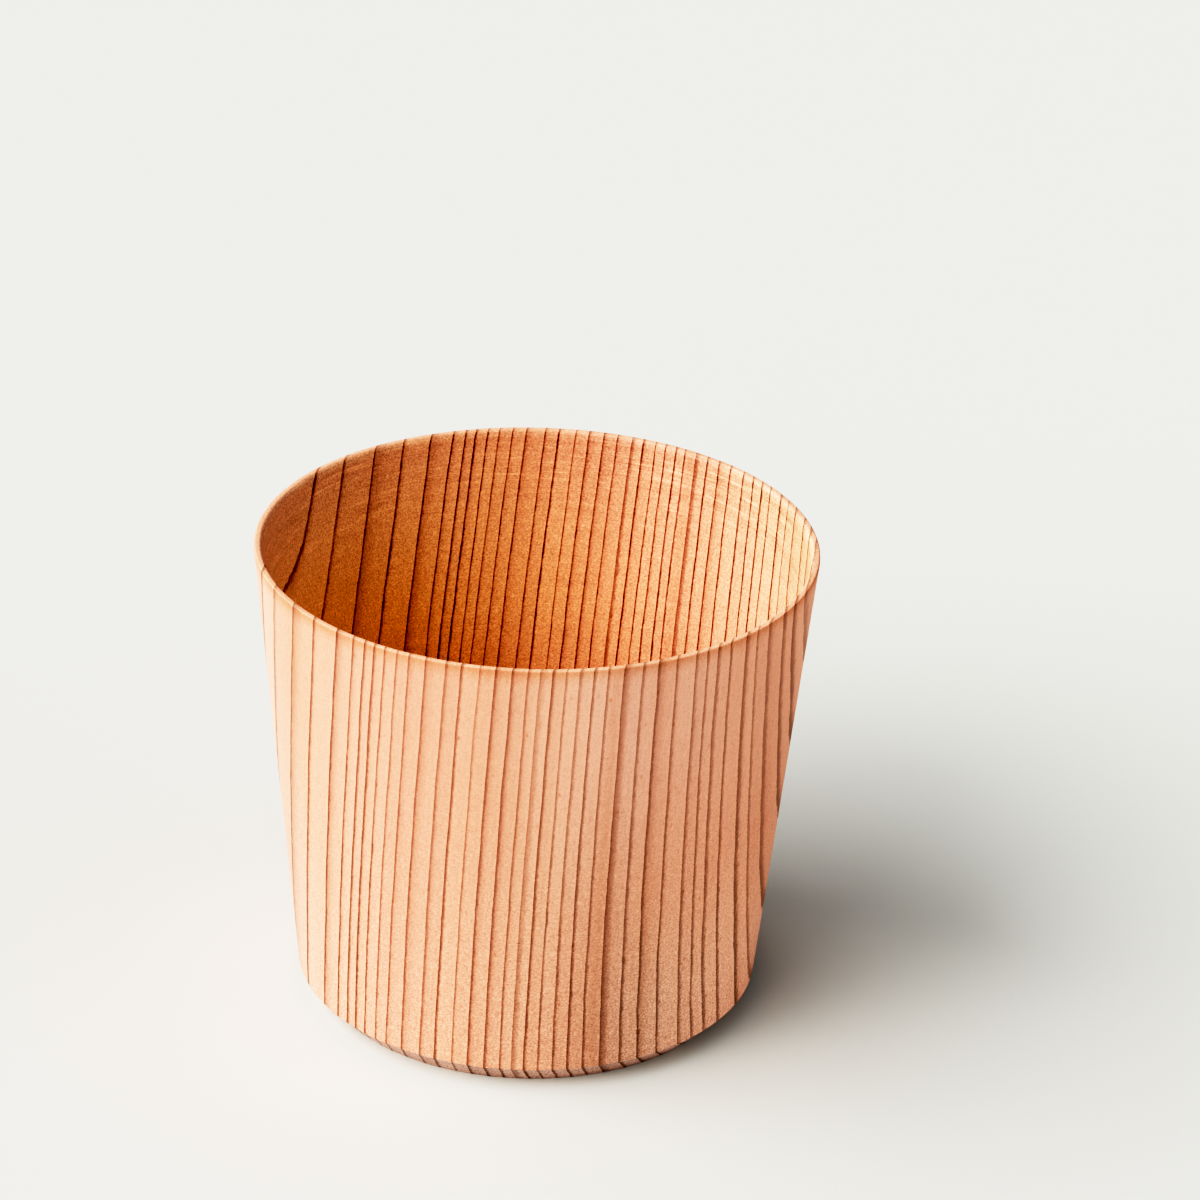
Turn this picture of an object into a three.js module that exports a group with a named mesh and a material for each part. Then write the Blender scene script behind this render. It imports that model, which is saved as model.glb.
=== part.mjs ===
// A small turned wooden cup for sake, in millimetres, +Z up.
// The origin is the centre of the foot, on the surface that the cup stands on.
//
// Two pieces of wood:
//   cup_wall     a tapered sleeve turned from one block with upright grain,
//                thin at the rim, bevelled at the foot, with a ledge inside the foot
//   bottom_disc  a floor board with its grain lying flat, dropped in from the mouth:
//                its tapered edge wedges in the narrowing bore above the ledge

import * as THREE from "three";

// ---- driving dimensions -------------------------------------------------
const RIM_RADIUS = 30.0; // outside, at the very top
const HEIGHT = 52.5; // foot to rim
const FOOT_WALL_RADIUS = 25.05; // outside, just above the foot bevel
const BEVEL_HEIGHT = 2.65; // foot bevel, upright
const BEVEL_WIDTH = 2.6; // foot bevel, inwards
const RIM_THICKNESS = 0.88; // wall at the rim
const RIM_ROUND = 0.22; // softened outer edge of the rim
const RIM_INNER_EASE = 0.3; // eased inner edge of the rim

const LEDGE_TOP = 3.0; // height of the ledge that carries the floor board
const LEDGE_RADIUS = 19.4; // opening inside the ledge
const LEDGE_BORE_RADIUS = 23.0; // bore of the wall where it meets the ledge
const LEDGE_EASE = 0.3; // eased inner edge of the foot ring

const FLOOR_THICKNESS = 3.5;
const FLOOR_EASE = 0.35; // eased edges of the floor board
const FIT_GAP = 0.3; // clearance all round the floor board

const SEGMENTS = 96; // steps round the axis, a multiple of four

// ---- derived dimensions -------------------------------------------------
const FOOT_EDGE_RADIUS = FOOT_WALL_RADIUS - BEVEL_WIDTH;
const outerTaper = (RIM_RADIUS - FOOT_WALL_RADIUS) / (HEIGHT - BEVEL_HEIGHT);
const RIM_BORE_RADIUS = RIM_RADIUS - RIM_THICKNESS;
const boreTaper = (RIM_BORE_RADIUS - LEDGE_BORE_RADIUS) / (HEIGHT - LEDGE_TOP);
const outerRadiusAt = (z) => FOOT_WALL_RADIUS + outerTaper * (z - BEVEL_HEIGHT);
const boreRadiusAt = (z) => LEDGE_BORE_RADIUS + boreTaper * (z - LEDGE_TOP);
const FLOOR_LOW = LEDGE_TOP + FIT_GAP;
const FLOOR_HIGH = FLOOR_LOW + FLOOR_THICKNESS;

// ---- geometry -----------------------------------------------------------
// A body of revolution about +Z from [radius, height] pairs.
function turned(profile) {
  const geometry = new THREE.LatheGeometry(
    profile.map(([r, z]) => new THREE.Vector2(r, z)),
    SEGMENTS,
  );
  geometry.rotateX(Math.PI / 2); // the lathe axis becomes +Z
  return geometry;
}

// The wall's closed section: foot, bevel, outside, rim, bore, ledge.
const easeLow = HEIGHT - RIM_ROUND;
const wallSection = [
  [LEDGE_RADIUS + LEDGE_EASE, 0],
  [FOOT_EDGE_RADIUS, 0],
  [FOOT_WALL_RADIUS, BEVEL_HEIGHT],
  [outerRadiusAt(HEIGHT * 0.5), HEIGHT * 0.5],
  [outerRadiusAt(easeLow), easeLow],
  [outerRadiusAt(easeLow) - RIM_ROUND * 0.29, HEIGHT - RIM_ROUND * 0.29],
  [outerRadiusAt(easeLow) - RIM_ROUND, HEIGHT],
  [RIM_BORE_RADIUS + RIM_INNER_EASE * 0.6, HEIGHT],
  [boreRadiusAt(HEIGHT - RIM_INNER_EASE), HEIGHT - RIM_INNER_EASE],
  [boreRadiusAt(HEIGHT * 0.5), HEIGHT * 0.5],
  [LEDGE_BORE_RADIUS, LEDGE_TOP],
  [LEDGE_RADIUS, LEDGE_TOP],
  [LEDGE_RADIUS, LEDGE_EASE],
];
wallSection.push([...wallSection[0]]);

// The floor board's half section, from the axis out and back to the axis.
const floorSection = [
  [0, FLOOR_LOW],
  [boreRadiusAt(FLOOR_LOW) - FIT_GAP - FLOOR_EASE, FLOOR_LOW],
  [boreRadiusAt(FLOOR_LOW + FLOOR_EASE) - FIT_GAP, FLOOR_LOW + FLOOR_EASE],
  [boreRadiusAt(FLOOR_HIGH - FLOOR_EASE) - FIT_GAP, FLOOR_HIGH - FLOOR_EASE],
  [boreRadiusAt(FLOOR_HIGH) - FIT_GAP - FLOOR_EASE, FLOOR_HIGH],
  [0, FLOOR_HIGH],
];

// ---- pieces -------------------------------------------------------------
const cup = new THREE.Group();

const cupWall = new THREE.Mesh(
  turned(wallSection),
  new THREE.MeshStandardMaterial({
    color: 0xe5b283,
    roughness: 0.62,
    metalness: 0,
  }),
);
cupWall.name = "cup_wall";
cup.add(cupWall);

const bottomDisc = new THREE.Mesh(
  turned(floorSection),
  new THREE.MeshStandardMaterial({
    color: 0xdda672,
    roughness: 0.65,
    metalness: 0,
  }),
);
bottomDisc.name = "bottom_disc";
cup.add(bottomDisc);

export default cup;
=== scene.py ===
import math

import bpy
import numpy as np
from mathutils import Matrix, Vector


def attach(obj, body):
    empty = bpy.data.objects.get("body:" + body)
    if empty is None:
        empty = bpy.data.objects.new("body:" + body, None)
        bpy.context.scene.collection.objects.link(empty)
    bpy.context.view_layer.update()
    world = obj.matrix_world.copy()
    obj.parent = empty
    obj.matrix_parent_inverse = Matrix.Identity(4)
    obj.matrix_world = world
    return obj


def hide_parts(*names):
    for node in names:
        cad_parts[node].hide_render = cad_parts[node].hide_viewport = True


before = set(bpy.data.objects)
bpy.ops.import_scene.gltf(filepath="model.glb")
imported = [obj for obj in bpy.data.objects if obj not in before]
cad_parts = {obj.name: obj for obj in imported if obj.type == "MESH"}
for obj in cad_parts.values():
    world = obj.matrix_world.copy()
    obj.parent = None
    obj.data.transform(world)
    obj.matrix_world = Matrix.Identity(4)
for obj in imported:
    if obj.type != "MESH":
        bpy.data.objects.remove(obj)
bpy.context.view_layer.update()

MM = 0.001

# ---------------------------------------------------------------------------
# Dimensions of the cup in millimetres, the same as the solids have
# ---------------------------------------------------------------------------
RIM_R, HEIGHT = 30.0, 52.5
FOOT_WALL_R, BEVEL_H, BEVEL_W = 25.05, 2.65, 2.6
RIM_T = 0.88
LEDGE_TOP, LEDGE_R, LEDGE_BORE_R, LEDGE_EASE = 3.0, 19.4, 23.0, 0.3
FLOOR_T, FLOOR_GAP = 3.5, 0.3
BORE_TAPER = (RIM_R - RIM_T - LEDGE_BORE_R) / (HEIGHT - LEDGE_TOP)


def bore_r(z):
    return LEDGE_BORE_R + BORE_TAPER * (z - LEDGE_TOP)


# ---------------------------------------------------------------------------
# Growth rings of the wall's block
# ---------------------------------------------------------------------------
# The wall is turned from one block. Its rings are nearly flat upright sheets that run
# from the front left to the back right and lean a little. The two lists are the places
# of the late-wood lines across the block, in millimetres, on its front and back halves.
RING_NUMBERS = np.arange(-3, 46, dtype=float)
RINGS_FRONT = [
    -36.4, -34.2, -32.1, -30.1, -26.8, -24.6, -21.70, -18.90, -16.00, -14.01, -12.67,
    -11.57, -10.37, -8.99, -7.60, -5.82, -3.69, -2.07, -0.22, 1.40, 3.10, 4.62,
    5.80, 6.98, 8.25, 9.55, 10.82, 12.16, 13.62, 15.29, 16.69, 18.23, 19.92, 20.88,
    21.74, 22.79, 24.08, 25.02, 26.00, 27.10, 27.9, 28.7, 29.5, 30.4, 31.3, 32.2, 33.2,
    34.1, 35.1,
]
RINGS_BACK = [
    -36.3, -34.1, -32.0, -30.0, -26.5, -24.2, -21.46, -18.85, -16.18, -13.93, -12.60,
    -11.52, -10.21, -9.00, -7.56, -6.06, -3.93, -2.39, -0.44, 1.06, 2.76, 4.34,
    6.08, 7.42, 8.86, 10.02, 11.30, 12.37, 13.74, 15.10, 16.49, 17.92, 19.49, 20.70,
    21.74, 22.79, 24.08, 25.02, 25.99, 27.09, 27.9, 28.7, 29.5, 30.4, 31.3, 32.2, 33.2,
    34.1, 35.1,
]
RING_TURN = math.radians(10.0)  # the sheets' direction in plan
RING_LEAN = 0.06  # millimetres across for each millimetre down


def ring_place(x, y, z):
    """Distance across the block, in millimetres, with the slow bends of the sheets."""
    down = HEIGHT - z
    u = x * math.cos(RING_TURN) - y * math.sin(RING_TURN) + RING_LEAN * down
    a, b, d = x / 30.0, y / 30.0, down / 52.5
    return (
        u - 0.178 * a + 0.427 * b + 0.040 * d + 0.764 * a * b - 0.644 * a * d
        + 0.528 * b * d + 0.170 * b * b - 0.504 * d * d - 0.159 * a * a
        + 0.441 * a * a * b + 0.071 * a * b * b - 0.263 * b ** 3 + 1.289 * a * b * d
        + 1.109 * b * b * d - 0.276 * b * d * d - 0.754 * a * d * d
        - 0.418 * d ** 3 - 1.024 * a * a * d
        + 0.6 * np.exp(-(((y - 6.5) / 5.0) ** 2)) * np.clip((-x - 22.0) / 4.0, 0, 1)
    )


def smooth_interp(x, xs, ys):
    """Monotone cubic interpolation of ys over xs."""
    xs, ys = np.asarray(xs, float), np.asarray(ys, float)
    h = np.diff(xs)
    s = np.diff(ys) / h
    m = np.empty_like(ys)
    m[0], m[-1] = s[0], s[-1]
    w1, w2 = 2 * h[1:] + h[:-1], h[1:] + 2 * h[:-1]
    m[1:-1] = (w1 + w2) / (w1 / s[:-1] + w2 / s[1:])
    k = np.clip(np.searchsorted(xs, x) - 1, 0, len(h) - 1)
    t = (x - xs[k]) / h[k]
    return (
        (1 + 2 * t) * (1 - t) ** 2 * ys[k]
        + t * (1 - t) ** 2 * h[k] * m[k]
        + t * t * (3 - 2 * t) * ys[k + 1]
        + t * t * (t - 1) * h[k] * m[k + 1]
    )


def ring_number(x, y, z):
    u = ring_place(x, y, z)
    back = np.clip((y + 26.0) / 52.0, 0, 1)
    back = back * back * (3 - 2 * back)
    return (1 - back) * smooth_interp(u, RINGS_FRONT, RING_NUMBERS) + (
        back * smooth_interp(u, RINGS_BACK, RING_NUMBERS)
    )


# ---------------------------------------------------------------------------
# Turned meshes
# ---------------------------------------------------------------------------
def section(points, step):
    """Samples a closed section of (radius, height, edge round, kind of the run after it).
    Returns rows of radius and height, the kind of each row, and 1 on rounded edges."""
    n = len(points)
    rows, kinds, edge = [], [], []
    for i, (r, z, e, kind) in enumerate(points):
        p = np.array([r, z])
        a = np.array(points[i - 1][:2]) - p
        b = np.array(points[(i + 1) % n][:2]) - p
        la, lb = np.linalg.norm(a), np.linalg.norm(b)
        a, b = a / la, b / lb
        half = 0.5 * math.acos(np.clip(a @ b, -1, 1))
        cut = min(e / math.tan(half), 0.45 * min(la, lb)) if e > 0 else 0.0
        if cut > 0:
            rad = cut * math.tan(half)
            mid = (a + b) / np.linalg.norm(a + b)
            centre = p + mid * rad / math.sin(half)
            t0, t1 = p + a * cut - centre, p + b * cut - centre
            span = math.atan2(t0[0] * t1[1] - t0[1] * t1[0], t0 @ t1)
            count = 7
            for k in range(count):
                f = span * k / (count - 1)
                c, s = math.cos(f), math.sin(f)
                q = centre + np.array([c * t0[0] - s * t0[1], s * t0[0] + c * t0[1]])
                rows.append(q)
                kinds.append(points[i - 1][3] if k < count / 2 else kind)
                edge.append(1.0)
        else:
            rows.append(p)
            kinds.append(kind)
            edge.append(0.0)
        nxt = points[(i + 1) % n]
        an = -b
        cn = np.array(points[(i + 2) % n][:2]) - np.array(nxt[:2])
        lc = np.linalg.norm(cn)
        halfn = 0.5 * math.acos(np.clip(an @ (cn / lc), -1, 1))
        cutn = min(nxt[2] / math.tan(halfn), 0.45 * min(lb, lc)) if nxt[2] > 0 else 0.0
        start, end = p + b * cut, np.array(nxt[:2]) - b * cutn
        length = np.linalg.norm(end - start)
        count = max(1, int(round(length / step[kind])))
        for k in range(1, count):
            rows.append(start + (end - start) * k / count)
            kinds.append(kind)
            edge.append(0.0)
    return np.array(rows), np.array(kinds), np.array(edge)


def ripple(angle, seed, terms, low, high):
    """A seeded sum of waves round the axis, about -1 to 1."""
    rng = np.random.RandomState(seed)
    out = np.zeros_like(angle)
    for _ in range(terms):
        k = rng.randint(low, high)
        out += math.sqrt(low / k) * np.sin(k * angle + rng.uniform(0, 2 * math.pi))
    return out / math.sqrt(terms)


def turned_mesh(name, rows, segments, shift=None, closed=True):
    """A body of revolution. Rows with no radius become single poles."""
    angle = np.arange(segments) * (2 * math.pi / segments)
    verts, first, single = [], [], []
    for i, (r, z) in enumerate(rows):
        first.append(sum(len(v) for v in verts))
        if r < 1e-6:
            verts.append(np.array([[0.0, 0.0, z]]))
            single.append(True)
            continue
        dr, dz = shift(i, angle) if shift else (0.0, 0.0)
        rr = r + dr
        verts.append(
            np.stack(
                [rr * np.sin(angle), -rr * np.cos(angle), np.full(segments, z) + dz], 1
            )
        )
        single.append(False)
    places = np.vstack(verts)
    faces = []
    j = np.arange(segments)
    jn = (j + 1) % segments
    last = len(rows) if closed else len(rows) - 1
    for i in range(last):
        k = (i + 1) % len(rows)
        a, b = first[i], first[k]
        if single[i] and single[k]:
            continue
        if single[i]:
            faces += [(a, int(b + q), int(b + p)) for p, q in zip(j, jn)]
        elif single[k]:
            faces += [(int(a + p), int(a + q), b) for p, q in zip(j, jn)]
        else:
            faces += [
                (int(a + p), int(a + q), int(b + q), int(b + p)) for p, q in zip(j, jn)
            ]
    mesh = bpy.data.meshes.new(name)
    mesh.from_pydata((places * MM).tolist(), [], faces)
    mesh.update()
    mesh.polygons.foreach_set("use_smooth", np.ones(len(mesh.polygons), bool))
    ob = bpy.data.objects.new(name, mesh)
    bpy.context.scene.collection.objects.link(ob)
    return ob, places, first


def per_row(first, total, values):
    """Spreads one value for each row over the row's vertices."""
    out = np.empty(total)
    ends = list(first[1:]) + [total]
    for a, b, v in zip(first, ends, values):
        out[a:b] = v
    return out


def put(ob, name, values):
    kind = "FLOAT_VECTOR" if np.ndim(values) == 2 else "FLOAT"
    at = ob.data.attributes.new(name, kind, "POINT")
    key = "vector" if kind == "FLOAT_VECTOR" else "value"
    at.data.foreach_set(key, np.ascontiguousarray(values, np.float32).ravel())


def bump_up(x, centre, width):
    return np.exp(-(((x - centre) / width) ** 2))


# ---- the wall -------------------------------------------------------------
SEGMENTS = 480
EASE_W, EASE_H = 0.50, 1.4  # the rim's inner edge is eased along a quarter ellipse
EASE_R = bore_r(HEIGHT - EASE_H) + EASE_W
rim_ease = [
    (
        EASE_R - EASE_W * math.sin(math.radians(t)),
        HEIGHT - EASE_H * (1 - math.cos(math.radians(t))),
        0.0,
        "rim" if t < 30 else "bore",
    )
    for t in range(0, 91, 10)
]
wall_section = [
    (LEDGE_R, LEDGE_EASE, 0.10, "foot"),
    (LEDGE_R + LEDGE_EASE, 0.0, 0.10, "foot"),
    (FOOT_WALL_R - BEVEL_W, 0.0, 0.16, "bevel"),
    (FOOT_WALL_R, BEVEL_H, 0.14, "outside"),
    (RIM_R, HEIGHT, 0.33, "rim"),
    *rim_ease,
    (LEDGE_BORE_R, LEDGE_TOP, 0.12, "ledge"),
    (LEDGE_R, LEDGE_TOP, 0.12, "foot"),
]
wall_rows, wall_kinds, wall_edge = section(
    wall_section,
    {"foot": 0.9, "bevel": 0.3, "outside": 0.75, "rim": 0.12, "bore": 0.85, "ledge": 0.7},
)


def wall_shift(i, angle):
    """Hand-finished edges aren't perfectly even: a few hundredths of a millimetre."""
    r, z = wall_rows[i]
    if z > HEIGHT - 0.6:
        return 0.0, -0.018 * (1 + ripple(angle, 5, 14, 3, 60)) * (z - HEIGHT + 0.6) / 0.6
    if wall_edge[i] and abs(z - BEVEL_H) < 0.4 and r > 24:
        return 0.0, 0.045 * ripple(angle, 8, 18, 12, 110)
    if wall_edge[i] and z < 0.3 and r > 21:
        return 0.035 * ripple(angle, 9, 18, 12, 110), 0.0
    return 0.0, 0.0


wall, wall_places, wall_first = turned_mesh("cup_wall_wood", wall_rows, SEGMENTS, wall_shift)
wx, wy, wz = wall_places.T
number = ring_number(wx, wy, wz)
step = 0.05
width = 2 * step / (ring_number(wx + step, wy, wz) - ring_number(wx - step, wy, wz))
put(wall, "ring", number)
put(wall, "ring_width", np.clip(width * math.cos(RING_TURN), 0.5, 4.0))
put(wall, "soft", np.clip(bump_up(number, 19.25, 0.42) + bump_up(number, 25.1, 0.40), 0, 1))
put(
    wall,
    "warm",
    np.clip(
        0.9 * bump_up(number, 24.6, 0.55)
        + 0.55 * bump_up(number, 27.2, 0.9)
        + 0.35 * bump_up(number, 20.4, 0.5)
        + 0.30 * bump_up(number, 8.4, 0.5),
        0,
        1,
    ),
)
within = per_row(wall_first, len(wx), [float(k in ("rim", "bore", "ledge")) for k in wall_kinds])
radius = np.hypot(wx, wy)
inward = within * np.clip((EASE_R - radius) / (0.6 * EASE_W), 0, 1)
on_rim = np.clip(within - inward, 0, 1)
down = HEIGHT - wz
put(wall, "grain", np.stack([wx + RING_LEAN * down, wy, wz], 1))
amount = {"foot": 0.9, "bevel": 0.85, "outside": 0.0, "rim": 0.12, "bore": 0.0, "ledge": 0.8}
put(wall, "endwise", per_row(wall_first, len(wx), [amount[k] for k in wall_kinds]))
amount = {"foot": 0.5, "bevel": 0.2, "outside": 0.3, "rim": 0.2, "bore": 1.0, "ledge": 0.6}
turned = per_row(wall_first, len(wx), [amount[k] for k in wall_kinds])
near_rim = within * np.exp(-((HEIGHT - wz) / 7.0) ** 2)
put(wall, "turning", turned * (1 + (2.6 + 2.4 * np.clip((wx + 4.0) / 16.0, 0, 1)) * near_rim))
amount = {"foot": 1.2, "bevel": 0.95, "outside": 0.86, "rim": 0.66, "bore": 1.05, "ledge": 1.0}
gain = per_row(wall_first, len(wx), [amount[k] for k in wall_kinds])
outside = per_row(wall_first, len(wx), [float(k == "outside") for k in wall_kinds])
left = np.clip((-wx - 4.0) / 20.0, 0, 1)
upper = np.clip((wz - 12.0) / 38.0, 0, 1)
rightward = np.clip((wx + 10.0) / 26.0, 0, 1)
put(
    wall,
    "line_gain",
    gain
    * (1 + outside * (0.12 * left + 0.32 * left * (1 - upper) - 0.38 * upper * (1 - 0.6 * left)))
    * (1 + inward * (0.11 + 0.08 * rightward + 0.22 * np.clip((wx - 14.0) / 10.0, 0, 1)))
    * (1 - 0.25 * inward * np.clip((-wx - 22.0) / 5.0, 0, 1)),
)
band = outside * np.exp(-((HEIGHT - wz) / 0.9) ** 2)
put(wall, "lip", band)
rough = {"foot": 0.6, "bevel": 0.8, "outside": 0.36, "rim": 0.4, "bore": 0.62, "ledge": 0.6}
sanding = per_row(wall_first, len(wx), [rough[k] for k in wall_kinds])
low = np.clip((42.0 - wz) / 36.0, 0, 1)
low_right = np.clip((wx + 12.0) / 30.0, 0, 1) * np.clip((34.0 - wz) / 26.0, 0, 1)
put(wall, "sanding", sanding * (1 - 0.46 * outside + 0.95 * outside * low) + 0.14 * outside * low_right)
put(wall, "inside", inward)
# Painted light: the inside brighter with depth.
put(wall, "painted_depth_light", inward * np.clip((HEIGHT - wz - 2.0) / 18.0, 0, 1))
slant = np.clip(0.30 + 1.1 * np.abs(wy) / radius, 0.45, 1.0)  # where the wall runs along the sheets
put(wall, "line_width", (1.0 - inward * (0.24 + 0.08 * rightward)) * (1 - inward * (1 - slant)))
# Slow tints across the block: partly the wood's own tone, mostly painted light and shade.
# Redder on the left: partly the wood's rose tone, partly painted warm light on the lit side.
rose_wood_and_warm_light = outside * bump_up(wx, -15.0, 11.0)
# Painted light: the outside paler along its left edge, the lit side.
edge = outside * np.clip((-wx / radius - 0.86) / 0.10, 0, 1)
# Greyer upper right: partly the wood's own tone, partly painted cool light on the shaded side.
grey_wood_and_cool_light = outside * bump_up(wx, 11.0, 10.0) * np.clip((wz - 22.0) / 20.0, 0, 1)
# Painted cool shade: less red low on the front.
painted_cool_shade_low = outside * bump_up(wx, 7.0, 8.0) * np.clip((42.0 - wz) / 16.0, 0, 1)
# Greyer low on the right: partly the wood's own tone, partly painted cool light.
grey_wood_and_cool_light_low = outside * np.clip((wx - 5.0) / 8.0, 0, 1) * np.clip((26.0 - wz) / 16.0, 0, 1)
# Painted light: paler low on the right.
painted_light_low_right = outside * np.clip((wx - 14.0) / 8.0, 0, 1) * np.clip((26.0 - wz) / 16.0, 0, 1)
# Painted shade: darker low just right of the front.
painted_shade_low_right = 1 - 0.13 * outside * bump_up(wx, 8.0, 8.0) * np.clip((26.0 - wz) / 18.0, 0, 1)
# Painted light and shade inside: the inside tinted lighter and darker by side and by depth.
aside = wx / 28.0
depth = np.clip(down / 20.0, 0, 1)
below = np.clip((down - 18.0) / 20.0, 0, 1)
painted_red_in = np.clip(0.20 * aside - 0.12 * aside**3 + depth * (0.05 + 0.14 * aside**2), -0.10, 0.12)
painted_green_in = -0.13 + 0.05 * aside + 0.25 * aside**2 + depth * (0.14 - 0.21 * aside)
painted_green_in = np.clip(painted_green_in, -0.15, 0.24) + 0.08 * below
painted_blue_in = -0.11 + 0.21 * aside + 0.25 * aside**2 - 0.17 * aside**3 + 0.10 * below
put(
    wall,
    "tint_and_painted_light",
    np.stack(
        [
            painted_shade_low_right
            * (1 + 0.13 * painted_light_low_right - 0.11 * painted_cool_shade_low + 0.10 * on_rim)
            * np.exp(inward * painted_red_in),
            painted_shade_low_right
            * (1 + 0.09 * grey_wood_and_cool_light + 0.15 * grey_wood_and_cool_light_low + 0.10 * painted_light_low_right - 0.085 * rose_wood_and_warm_light + 0.08 * edge)
            * (1 - 0.045 * painted_cool_shade_low + 0.05 * on_rim - 0.09 * band)
            * np.exp(inward * painted_green_in),
            painted_shade_low_right
            * (1 + 0.18 * grey_wood_and_cool_light + 0.21 * grey_wood_and_cool_light_low + 0.08 * painted_light_low_right - 0.075 * rose_wood_and_warm_light + 0.14 * edge)
            * (1 - 0.02 * painted_cool_shade_low - 0.03 * on_rim - 0.20 * band)
            * np.exp(inward * painted_blue_in),
        ],
        1,
    ),
)


def strip_map(ob, rows, segments):
    """Two long strips, one for each half of the cup, so that the lines keep their width."""
    length = np.concatenate(
        [[0], np.cumsum(np.linalg.norm(np.diff(np.vstack([rows, rows[:1]]), axis=0), axis=1))]
    )
    length /= length[-1]
    layer = ob.data.uv_layers.new(name="OFBake")
    n_rows = len(rows)
    index = np.arange(n_rows * segments)
    row, col = index // segments, index % segments
    edge = 0.004
    out = np.empty((len(index), 4, 2), np.float32)
    for c, (dr, dc) in enumerate(((0, 0), (0, 1), (1, 1), (1, 0))):
        half = col // (segments // 2)
        along = (col - half * (segments // 2) + dc) / (segments // 2)
        up = length[row + dr]
        out[:, c, 0] = edge + (1 - 2 * edge) * along
        out[:, c, 1] = half * 0.5 + edge + (0.5 - 2 * edge) * up
    layer.data.foreach_set("uv", out.ravel())


strip_map(wall, wall_rows, SEGMENTS)

# ---- the floor board ------------------------------------------------------
FLOOR_LOW = LEDGE_TOP + FLOOR_GAP
FLOOR_HIGH = FLOOR_LOW + FLOOR_T
SNUG = 0.06  # the joint line that stays open round the board
board_low, board_high = bore_r(FLOOR_LOW) - SNUG, bore_r(FLOOR_HIGH) - SNUG
disc_rows = [(0.0, FLOOR_LOW)]
disc_rows += [(r, FLOOR_LOW) for r in np.linspace(1.2, board_low - 0.3, 18)]
disc_rows += [(board_low - 0.09, FLOOR_LOW + 0.03), (board_low, FLOOR_LOW + 0.25)]
disc_rows += [
    (bore_r(z) - SNUG, z) for z in np.linspace(FLOOR_LOW + 0.9, FLOOR_HIGH - 0.5, 5)
]
disc_rows += [
    (board_high - 0.02, FLOOR_HIGH - 0.16),
    (board_high - 0.08, FLOOR_HIGH - 0.06),
    (board_high - 0.2, FLOOR_HIGH),
]
disc_rows += [(r, FLOOR_HIGH) for r in np.linspace(board_high - 0.6, 1.2, 18)]
disc_rows += [(0.0, FLOOR_HIGH)]
disc, disc_places, disc_first = turned_mesh(
    "bottom_disc_wood", np.array(disc_rows), 160, closed=False
)
dx, dy, dz = disc_places.T
lie = math.radians(34.0)  # direction of the board's flat grain
along = dx * math.cos(lie) + dy * math.sin(lie)
across = -dx * math.sin(lie) + dy * math.cos(lie)
rng = np.random.RandomState(21)
gaps = rng.uniform(1.05, 2.3, 60)
lines = np.cumsum(gaps) - gaps.sum() / 2
board_u = across + 0.22 * dz + 0.0035 * (along + 9.0) ** 2
board_number = smooth_interp(board_u, lines, np.arange(60.0)) + 60.0
board_width = 0.1 / (
    smooth_interp(board_u + 0.05, lines, np.arange(60.0))
    - smooth_interp(board_u - 0.05, lines, np.arange(60.0))
)
put(disc, "ring", board_number)
put(disc, "ring_width", np.clip(board_width, 0.5, 4.0))
put(disc, "soft", np.zeros_like(dx))
put(disc, "warm", 0.35 * bump_up(board_number, 88.4, 0.8))
put(disc, "grain", np.stack([across, dz + 40.0, along], 1))
side = np.clip((np.hypot(dx, dy) - board_low + 0.4) / 0.4, 0, 1)
put(disc, "endwise", side * np.abs(along) / 24.0)
put(disc, "turning", np.zeros_like(dx))
put(disc, "line_gain", np.full_like(dx, 0.95))
put(disc, "lip", np.zeros_like(dx))
put(disc, "sanding", np.full_like(dx, 0.45))
put(disc, "inside", np.clip((dz - FLOOR_LOW) / FLOOR_T, 0, 1))
# Painted light over the whole board, as deep inside.
put(disc, "painted_depth_light", np.ones_like(dx))
put(disc, "line_width", np.ones_like(dx))
put(disc, "tint_and_painted_light", np.ones((len(dx), 3)))

# ---------------------------------------------------------------------------
# Wood
# ---------------------------------------------------------------------------


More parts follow.
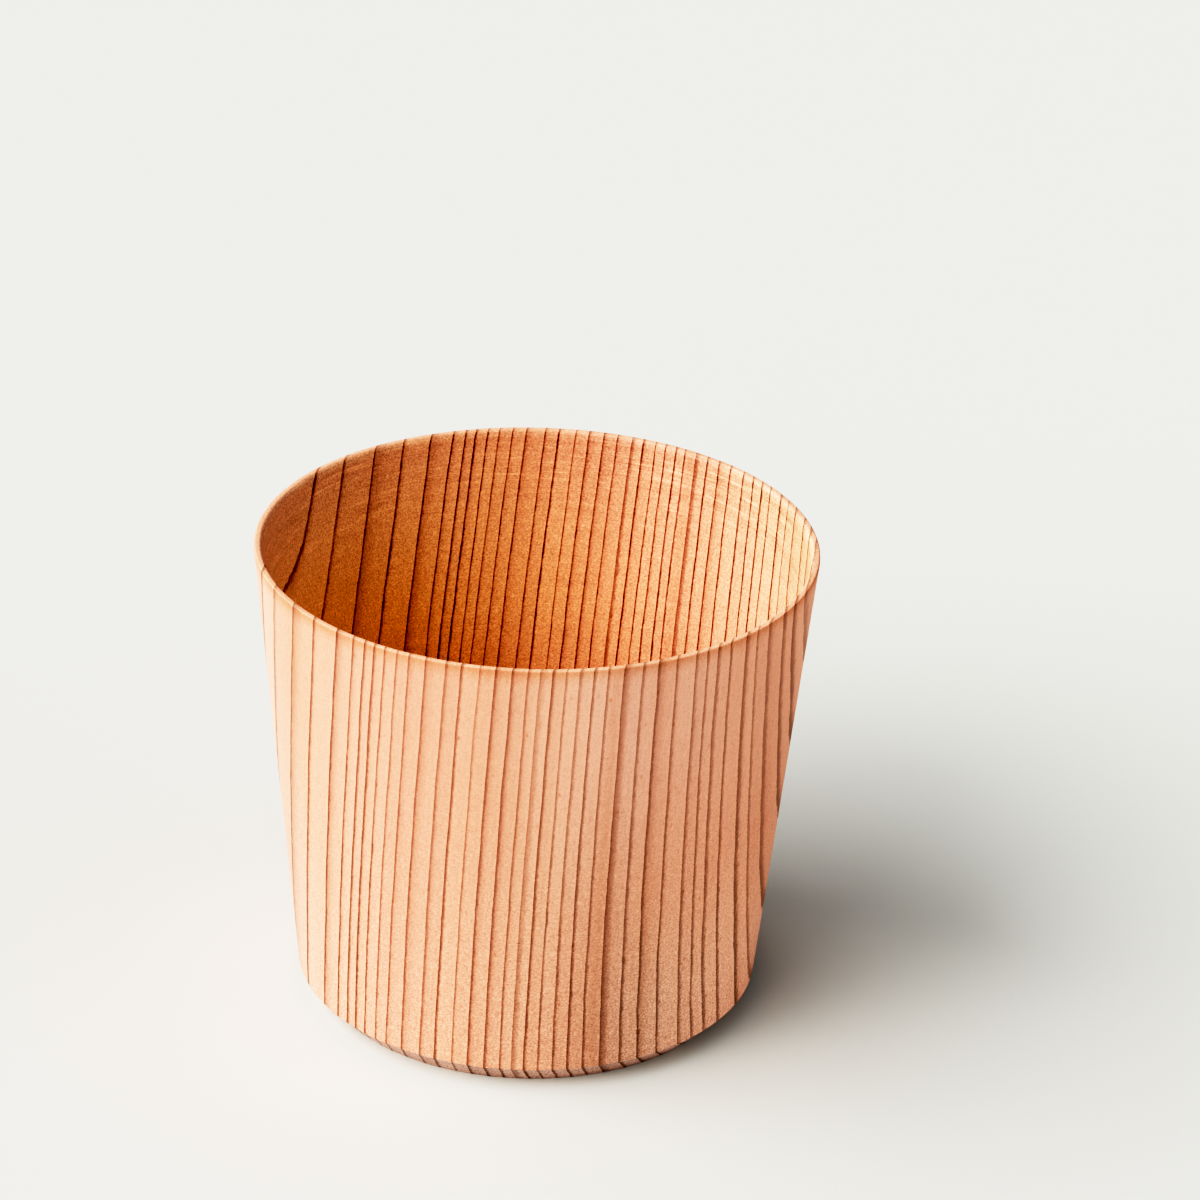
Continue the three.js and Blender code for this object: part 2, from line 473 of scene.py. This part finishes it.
class Graph:
    """Short names for a material's nodes."""

    def __init__(self, name):
        self.material = bpy.data.materials.new(name)
        self.material.use_nodes = True
        self.tree = self.material.node_tree
        self.tree.nodes.clear()

    def node(self, kind, **settings):
        n = self.tree.nodes.new(kind)
        for k, v in settings.items():
            setattr(n, k, v)
        return n

    def link(self, value, socket):
        if isinstance(value, (int, float)):
            socket.default_value = value
        elif isinstance(value, (tuple, list)):
            socket.default_value = value
        else:
            self.tree.links.new(value, socket)

    def math(self, op, a, b=None, c=None, clamp=False):
        n = self.node("ShaderNodeMath", operation=op, use_clamp=clamp)
        for value, socket in zip((a, b, c), n.inputs):
            if value is not None:
                self.link(value, socket)
        return n.outputs[0]

    def times(self, vector, scale):
        n = self.node("ShaderNodeVectorMath", operation="MULTIPLY")
        self.link(vector, n.inputs[0])
        n.inputs[1].default_value = scale
        return n.outputs[0]

    def read(self, name, vector=False):
        n = self.node("ShaderNodeAttribute", attribute_name=name)
        return n.outputs["Vector"] if vector else n.outputs["Fac"]

    def noise(self, vector, detail=2.0, rough=0.5, shift=None):
        n = self.node("ShaderNodeTexNoise", noise_dimensions="3D")
        if shift is not None:
            add = self.node("ShaderNodeVectorMath", operation="ADD")
            self.link(vector, add.inputs[0])
            add.inputs[1].default_value = shift
            vector = add.outputs[0]
        self.link(vector, n.inputs["Vector"])
        n.inputs["Scale"].default_value = 1.0
        n.inputs["Detail"].default_value = detail
        n.inputs["Roughness"].default_value = rough
        return n.outputs["Fac"]

    def fall(self, value, low, high, to_low=0.0, to_high=1.0, smooth=True):
        n = self.node(
            "ShaderNodeMapRange",
            interpolation_type="SMOOTHSTEP" if smooth else "LINEAR",
            clamp=True,
        )
        self.link(value, n.inputs["Value"])
        self.link(low, n.inputs["From Min"])
        self.link(high, n.inputs["From Max"])
        self.link(to_low, n.inputs["To Min"])
        self.link(to_high, n.inputs["To Max"])
        return n.outputs[0]

    def mix(self, factor, a, b, blend="MIX"):
        n = self.node("ShaderNodeMix", data_type="RGBA", blend_type=blend)
        self.link(factor, n.inputs[0])
        self.link(a, n.inputs[6])
        self.link(b, n.inputs[7])
        return n.outputs[2]

    def random(self, value, shift):
        n = self.node("ShaderNodeTexWhiteNoise", noise_dimensions="1D")
        self.link(self.math("ADD", value, shift), n.inputs["W"])
        return n.outputs["Value"]


def wood(name, early, early_deep, inner, late, late_inner, red):
    g = Graph(name)
    grain = g.read("grain", vector=True)
    ring = g.read("ring")
    ring_width = g.read("ring_width")
    soft = g.read("soft")
    warm = g.read("warm")
    endwise = g.read("endwise")
    turning = g.read("turning")
    inside = g.read("inside")

    def centred(value, size):
        return g.math("MULTIPLY", g.math("SUBTRACT", value, 0.5), size)

    # The lines wander a little and have ragged edges.
    wander = centred(g.noise(g.times(grain, (0.30, 0.30, 0.075))), 0.26)
    sway = centred(g.noise(g.times(grain, (1.0, 1.0, 0.30)), shift=(7.0, 3.0, 1.0)), 0.12)
    rag = centred(g.noise(g.times(grain, (6.0, 6.0, 3.2)), shift=(2.0, 9.0, 4.0)), 0.09)
    aside = g.math("ADD", g.math("ADD", wander, sway), g.math("ADD", rag, 0.13))
    moved = g.math("ADD", ring, g.math("DIVIDE", aside, ring_width))
    phase = g.math("FRACT", moved)
    which = g.math("FLOOR", moved)
    rand_a = g.random(which, 0.37)
    rand_b = g.random(which, 91.37)
    rand_c = g.random(which, 203.11)
    rand_d = g.random(which, 417.53)

    # Late wood: a sharp edge on one side, a fade on the other.
    past = g.math("MULTIPLY", phase, ring_width)
    before = g.math("MULTIPLY", g.math("SUBTRACT", 1.0, phase), ring_width)
    along = g.noise(g.times(grain, (0.9, 0.9, 0.16)), detail=3.0, shift=(11.0, 5.0, 8.0))
    beads = g.noise(g.times(grain, (2.6, 2.6, 1.3)), detail=2.0, shift=(1.0, 6.0, 2.0))
    core_width = g.math("MULTIPLY_ADD", rand_a, 0.16, 0.27)
    core_width = g.math("MULTIPLY", core_width, g.fall(beads, 0.3, 0.7, 0.85, 1.20))
    core_width = g.math("MULTIPLY", core_width, g.math("MULTIPLY_ADD", soft, 1.5, 1.0))
    core_width = g.math("MULTIPLY", core_width, g.math("MULTIPLY_ADD", endwise, 0.2, 1.0))
    core_width = g.math("MULTIPLY", core_width, g.read("line_width"))
    core = g.fall(past, core_width, g.math("MULTIPLY", core_width, 0.35))
    core = g.math("MULTIPLY", core, g.fall(past, 0.0, 0.05, 0.5, 1.0))
    strength = g.math("MULTIPLY", g.fall(along, 0.25, 0.75, 0.66, 1.0), g.math("MULTIPLY_ADD", rand_b, 0.26, 0.74))
    strength = g.math("MULTIPLY", strength, g.fall(beads, 0.3, 0.7, 0.86, 1.08))
    strength = g.math("MULTIPLY", strength, g.math("MULTIPLY_ADD", soft, -0.42, 1.0))
    strength = g.math("MULTIPLY", strength, g.read("line_gain"))
    line = g.math("MULTIPLY", core, strength, clamp=True)
    reach = g.math("MULTIPLY", g.math("MULTIPLY_ADD", rand_c, 0.45, 0.25), ring_width)
    fade = g.fall(past, reach, 0.0, smooth=False)
    fade = g.math("MULTIPLY", g.math("MULTIPLY", fade, fade), g.math("MULTIPLY_ADD", rand_d, 0.34, 0.16))
    fade = g.math("MULTIPLY", fade, g.fall(along, 0.2, 0.8, 1.25, 0.75))
    pale = g.fall(before, 0.45, 0.10)

    # Early wood: slow changes, then fibres and the fine mottle of a cut surface.
    slow = g.noise(g.times(grain, (0.10, 0.10, 0.018)), detail=2.0, shift=(3.0, 3.0, 3.0))
    colour = g.mix(g.fall(slow, 0.30, 0.70), early, early_deep)
    # The inside takes its own colour, partly painted light and shade.
    colour = g.mix(inside, colour, inner)
    tone = g.math("MULTIPLY_ADD", rand_b, 0.08, 0.96)
    colour = g.mix(g.math("MULTIPLY", warm, 0.34), colour, red)
    fibre = g.noise(g.times(grain, (5.5, 5.5, 0.22)), detail=3.0, rough=0.55, shift=(5.0, 1.0, 0.0))
    thread = g.noise(g.times(grain, (15.0, 15.0, 1.2)), detail=2.0, shift=(0.0, 8.0, 5.0))
    mottle = g.noise(g.times(grain, (4.6, 4.6, 4.0)), detail=3.0, rough=0.75, shift=(4.0, 4.0, 9.0))
    tone = g.math("MULTIPLY", tone, g.fall(fibre, 0.25, 0.75, 0.94, 1.05, smooth=False))
    tone = g.math("MULTIPLY", tone, g.fall(thread, 0.25, 0.75, 0.95, 1.05, smooth=False))
    rough_cut = g.math("MULTIPLY", centred(mottle, 2.0), g.read("sanding"))
    tone = g.math("MULTIPLY", tone, g.math("ADD", rough_cut, 1.0))
    grit = g.noise(g.times(grain, (4.6, 4.6, 7.2)), detail=1.0, shift=(1.0, 2.0, 7.0))
    grit = g.math("MULTIPLY", centred(grit, 1.75), g.read("sanding"))
    tone = g.math("MULTIPLY", tone, g.math("ADD", grit, 1.0))
    # Painted light: brighter deep inside the cup.
    tone = g.math("MULTIPLY", tone, g.math("MULTIPLY_ADD", g.read("painted_depth_light"), 0.14, 1.0))
    tone = g.math("MULTIPLY_ADD", pale, 0.045, tone)
    tone = g.math("MULTIPLY", tone, g.math("SUBTRACT", 1.0, fade))
    marks = g.noise(g.times(grain, (0.07, 0.07, 3.0)), detail=4.0, rough=0.8, shift=(9.0, 2.0, 6.0))
    patch = g.noise(g.times(grain, (0.16, 0.16, 0.30)), detail=1.0, shift=(2.0, 5.0, 3.0))
    mark = g.math("MULTIPLY", g.math("SUBTRACT", marks, 0.5), turning)
    mark = g.math("MULTIPLY", mark, g.fall(patch, 0.35, 0.65, 0.55, 1.6))
    tone = g.math("MULTIPLY_ADD", mark, 0.24, tone)
    thin = g.noise(g.times(grain, (0.11, 0.11, 2.7)), detail=2.0, rough=0.6, shift=(4.0, 1.0, 8.0))
    bunch = g.noise(g.times(grain, (0.20, 0.20, 0.40)), detail=1.0, shift=(8.0, 3.0, 1.0))
    thin = g.math("MULTIPLY", g.fall(thin, 0.55, 0.64), g.fall(bunch, 0.40, 0.56))
    tone = g.math("MULTIPLY_ADD", g.math("MULTIPLY", thin, turning), 0.07, tone)
    lip = g.math("MULTIPLY", g.read("lip"), g.fall(slow, 0.3, 0.7, 0.7, 1.2))
    tone = g.math("MULTIPLY_ADD", lip, -0.16, tone)
    colour = g.mix(g.math("MULTIPLY", lip, 0.22), colour, red)
    pore = g.fall(g.noise(g.times(grain, (5.0, 5.0, 1.6)), detail=1.0, shift=(6.0, 6.0, 1.0)), 0.68, 0.80)
    tone = g.math("MULTIPLY_ADD", pore, -0.16, tone)

    # Reddish flecks, mostly beside the lines.
    cell = g.node("ShaderNodeTexVoronoi", voronoi_dimensions="3D", feature="F1")
    g.link(g.times(grain, (1.0, 1.0, 0.50)), cell.inputs["Vector"])
    cell.inputs["Scale"].default_value = 1.0
    pick = g.node("ShaderNodeSeparateColor")
    g.link(cell.outputs["Color"], pick.inputs[0])
    fleck = g.math(
        "MULTIPLY",
        g.fall(cell.outputs["Distance"], 0.20, 0.05),
        g.fall(pick.outputs[0], 0.52, 0.76),
    )
    near = g.fall(past, 1.0, 0.2, 0.25, 1.0)
    fleck = g.math("MULTIPLY", fleck, g.math("MULTIPLY", near, 0.95))
    colour = g.mix(g.math("MULTIPLY", fade, 0.6), colour, red)
    colour = g.mix(fleck, colour, red)
    # End grain on the rim, the bevel and the foot is darker and duller.
    pit = g.noise(g.times(grain, (6.0, 6.0, 5.0)), detail=3.0, rough=0.70, shift=(8.0, 8.0, 2.0))
    colour = g.mix(endwise, colour, (0.545, 0.395, 0.350, 1.0))
    tone = g.math("MULTIPLY_ADD", g.math("MULTIPLY", endwise, g.math("SUBTRACT", pit, 0.55)), 0.60, tone)

    colour = g.mix(line, colour, g.mix(inside, late, late_inner))

    grey = g.node("ShaderNodeCombineColor")
    for s in grey.inputs[:3]:
        g.link(tone, s)
    colour = g.mix(1.0, colour, grey.outputs[0], blend="MULTIPLY")
    # Multiplies in the slow tints, mostly painted light and shade.
    colour = g.mix(1.0, colour, g.read("tint_and_painted_light", vector=True), blend="MULTIPLY")

    # Relief: fibres, late wood a trace proud, turning marks.
    height = centred(fibre, 0.5)
    height = g.math("MULTIPLY_ADD", thread, 0.35, height)
    height = g.math("MULTIPLY_ADD", mottle, 0.60, height)
    height = g.math("MULTIPLY_ADD", line, 0.35, height)
    height = g.math("MULTIPLY_ADD", mark, 0.9, height)
    height = g.math("MULTIPLY_ADD", g.math("MULTIPLY", endwise, pit), 0.9, height)
    bump = g.node("ShaderNodeBump")
    bump.inputs["Strength"].default_value = 0.30
    bump.inputs["Distance"].default_value = 0.00006
    g.link(height, bump.inputs["Height"])

    shader = g.node("ShaderNodeBsdfPrincipled")
    g.link(colour, shader.inputs["Base Color"])
    rough = g.fall(fibre, 0.2, 0.8, 0.64, 0.54, smooth=False)
    g.link(g.math("MULTIPLY_ADD", endwise, 0.15, rough), shader.inputs["Roughness"])
    shader.inputs["Specular IOR Level"].default_value = 0.25
    g.link(bump.outputs[0], shader.inputs["Normal"])
    out = g.node("ShaderNodeOutputMaterial")
    g.tree.links.new(shader.outputs[0], out.inputs["Surface"])
    return g.material


# The inside colours, inner and late_inner, are partly the wood's own and partly painted light and shade inside the
# cup.
wall_wood = wood(
    "turned_cedar",
    early=(0.748, 0.372, 0.266, 1.0),
    early_deep=(0.725, 0.348, 0.243, 1.0),
    inner=(0.625, 0.325, 0.202, 1.0),
    late=(0.180, 0.100, 0.063, 1.0),
    late_inner=(0.122, 0.050, 0.027, 1.0),
    red=(0.500, 0.200, 0.112, 1.0),
)
board_wood = wood(
    "planed_cedar",
    early=(0.700, 0.420, 0.285, 1.0),
    early_deep=(0.680, 0.395, 0.260, 1.0),
    inner=(0.690, 0.440, 0.290, 1.0),
    late=(0.225, 0.092, 0.054, 1.0),
    late_inner=(0.150, 0.055, 0.028, 1.0),
    red=(0.500, 0.235, 0.130, 1.0),
)
wall.data.materials.append(wall_wood)
disc.data.materials.append(board_wood)

for piece, node, slot in (
    (wall, "cup_wall", "wall_wood"),
    (disc, "bottom_disc", "floor_wood"),
):
    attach(piece, "root")
    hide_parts(node)

# ---------------------------------------------------------------------------
# Studio: a pale floor, a broad soft light from the left, weak fills, an even surround
# ---------------------------------------------------------------------------
mesh = bpy.data.meshes.new("studio_floor")
count = 96
ring = [(3.0 * math.cos(2 * math.pi * k / count), 3.0 * math.sin(2 * math.pi * k / count), 0.0) for k in range(count)]
mesh.from_pydata(ring, [], [tuple(range(count))])
floor = bpy.data.objects.new("studio_floor", mesh)
bpy.context.scene.collection.objects.link(floor)
g = Graph("pale_floor")
where = g.node("ShaderNodeTexCoord").outputs["Object"]
paper = g.noise(g.times(where, (900.0, 900.0, 900.0)), detail=2.0)
g_shader = g.node("ShaderNodeBsdfPrincipled")
g.link(
    g.mix(paper, (0.613, 0.609, 0.559, 1.0), (0.617, 0.613, 0.563, 1.0)),
    g_shader.inputs["Base Color"],
)
g_shader.inputs["Roughness"].default_value = 0.9
g_shader.inputs["Specular IOR Level"].default_value = 0.1
g.tree.links.new(g_shader.outputs[0], g.node("ShaderNodeOutputMaterial").inputs["Surface"])
mesh.materials.append(g.material)

world = bpy.data.worlds.new("studio")
bpy.context.scene.world = world
world.use_nodes = True
backdrop = world.node_tree.nodes["Background"]
# The surround lights evenly and weakly; seen directly it is as pale as the floor.
tree = world.node_tree
backdrop.inputs["Color"].default_value = (0.88, 1.0, 1.18, 1.0)
backdrop.inputs["Strength"].default_value = 0.08
paper_wall = tree.nodes.new("ShaderNodeBackground")
paper_wall.inputs["Color"].default_value = (1.0, 0.993, 0.972, 1.0)
paper_wall.inputs["Strength"].default_value = 0.497
pick_view = tree.nodes.new("ShaderNodeMixShader")
tree.links.new(tree.nodes.new("ShaderNodeLightPath").outputs["Is Camera Ray"], pick_view.inputs[0])
tree.links.new(backdrop.outputs[0], pick_view.inputs[1])
tree.links.new(paper_wall.outputs[0], pick_view.inputs[2])
tree.links.new(pick_view.outputs[0], tree.nodes["World Output"].inputs["Surface"])


def soft_sun(name, azimuth, elevation, strength, spread, colour):
    """A broad light from far away. Azimuth 0 is in front of the cup, 90 is its right side."""
    lamp = bpy.data.lights.new(name, "SUN")
    lamp.energy = strength
    lamp.angle = math.radians(spread)
    lamp.color = colour
    ob = bpy.data.objects.new(name, lamp)
    bpy.context.scene.collection.objects.link(ob)
    a, e = math.radians(azimuth), math.radians(elevation)
    towards = Vector((math.sin(a) * math.cos(e), -math.cos(a) * math.cos(e), math.sin(e)))
    ob.rotation_mode = "QUATERNION"
    ob.rotation_quaternion = towards.to_track_quat("Z", "Y")


soft_sun("key_left", -75.0, 37.0, 1.99, 60.0, (1.0, 0.985, 0.98))
soft_sun("key_front", -45.0, 35.0, 0.78, 40.0, (1.0, 0.99, 0.985))
soft_sun("front_fill", -15.0, 35.0, 0.40, 40.0, (1.0, 0.99, 0.985))
soft_sun("right_fill", 72.0, 12.0, 0.63, 50.0, (0.90, 0.965, 1.0))
soft_sun("left_fill", -135.0, 12.0, 0.74, 50.0, (0.97, 0.99, 1.0))

# ---------------------------------------------------------------------------
# Camera at the photograph's viewing angle
# ---------------------------------------------------------------------------
pitch, yaw, roll = math.radians(26.1665), math.radians(-1.1123), math.radians(1.9009)
ahead = Vector((-math.sin(yaw) * math.cos(pitch), math.cos(yaw) * math.cos(pitch), -math.sin(pitch)))
right = Vector((math.cos(yaw), math.sin(yaw), 0.0))
up = right.cross(ahead)
side = math.cos(roll) * right + math.sin(roll) * up
head = math.cos(roll) * up - math.sin(roll) * right
cam = bpy.data.cameras.new("photo_view")
cam.sensor_width = 36.0
cam.lens = 36.0 * 5000.0 / 1200.0
cam.clip_start, cam.clip_end = 0.01, 50.0
cam_ob = bpy.data.objects.new("photo_view", cam)
bpy.context.scene.collection.objects.link(cam_ob)
turn = Matrix((side, head, -ahead)).transposed().to_4x4()
cam_ob.matrix_world = Matrix.Translation(Vector((-2.451, -477.833, 280.767)) * MM) @ turn
bpy.context.scene.camera = cam_ob

# ---------------------------------------------------------------------------
# Exposure: a photographic curve with a toe and a shoulder
# ---------------------------------------------------------------------------
view = bpy.context.scene.view_settings
view.view_transform = "Standard"
view.use_curve_mapping = True
MIDDLE, CONTRAST = 0.25, 2.5


def print_curve(x):
    p = x ** CONTRAST
    return min(1.0, max(0.0, 1.06 * p / (p + MIDDLE ** CONTRAST) - 0.016))


curve = view.curve_mapping.curves[3]
stops = (0.0, 0.04, 0.08, 0.12, 0.16, 0.20, 0.25, 0.30, 0.36, 0.43, 0.52, 0.63, 0.78, 1.0)
while len(curve.points) < len(stops):
    curve.points.new(0.5, 0.5)
for point, x in zip(curve.points, stops):
    point.location = (x, print_curve(x))
view.curve_mapping.update()
